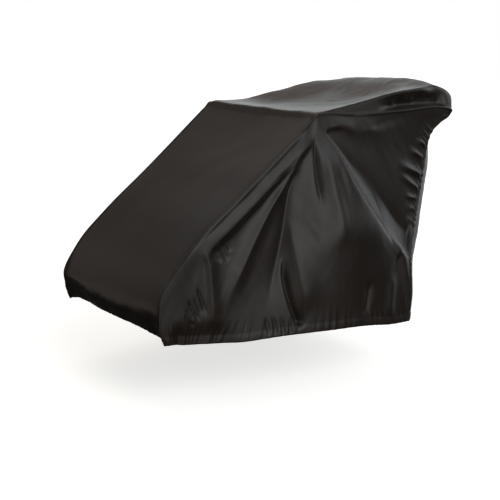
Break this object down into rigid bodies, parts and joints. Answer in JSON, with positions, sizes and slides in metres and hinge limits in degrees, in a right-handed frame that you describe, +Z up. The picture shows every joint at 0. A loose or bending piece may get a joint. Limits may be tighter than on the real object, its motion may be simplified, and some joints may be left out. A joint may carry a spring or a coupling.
{
  "type": "bike trailer cover",
  "caption": "Fitted black fabric cover for a bike trailer, with a sloping front, a sagging roof that rises to a crest at the rear, folded sides and an open underside.",
  "frame": {"origin": "on the centre line just under the roof cloth, 100 mm behind the roof's front edge, where the covered load carries the cover", "axes": "+Y to the rear, -Y the sloping front, +X the cover's left side, +Z up"},
  "size_m": [0.881, 1.298, 0.809],
  "materials": {
    "cover_cloth": "satin woven nylon"
  },
  "bodies": {
    "root": {"centre_panel": "cover_cloth", "side_panel_left": "cover_cloth", "side_panel_right": "cover_cloth"}
  },
  "joints": []
}
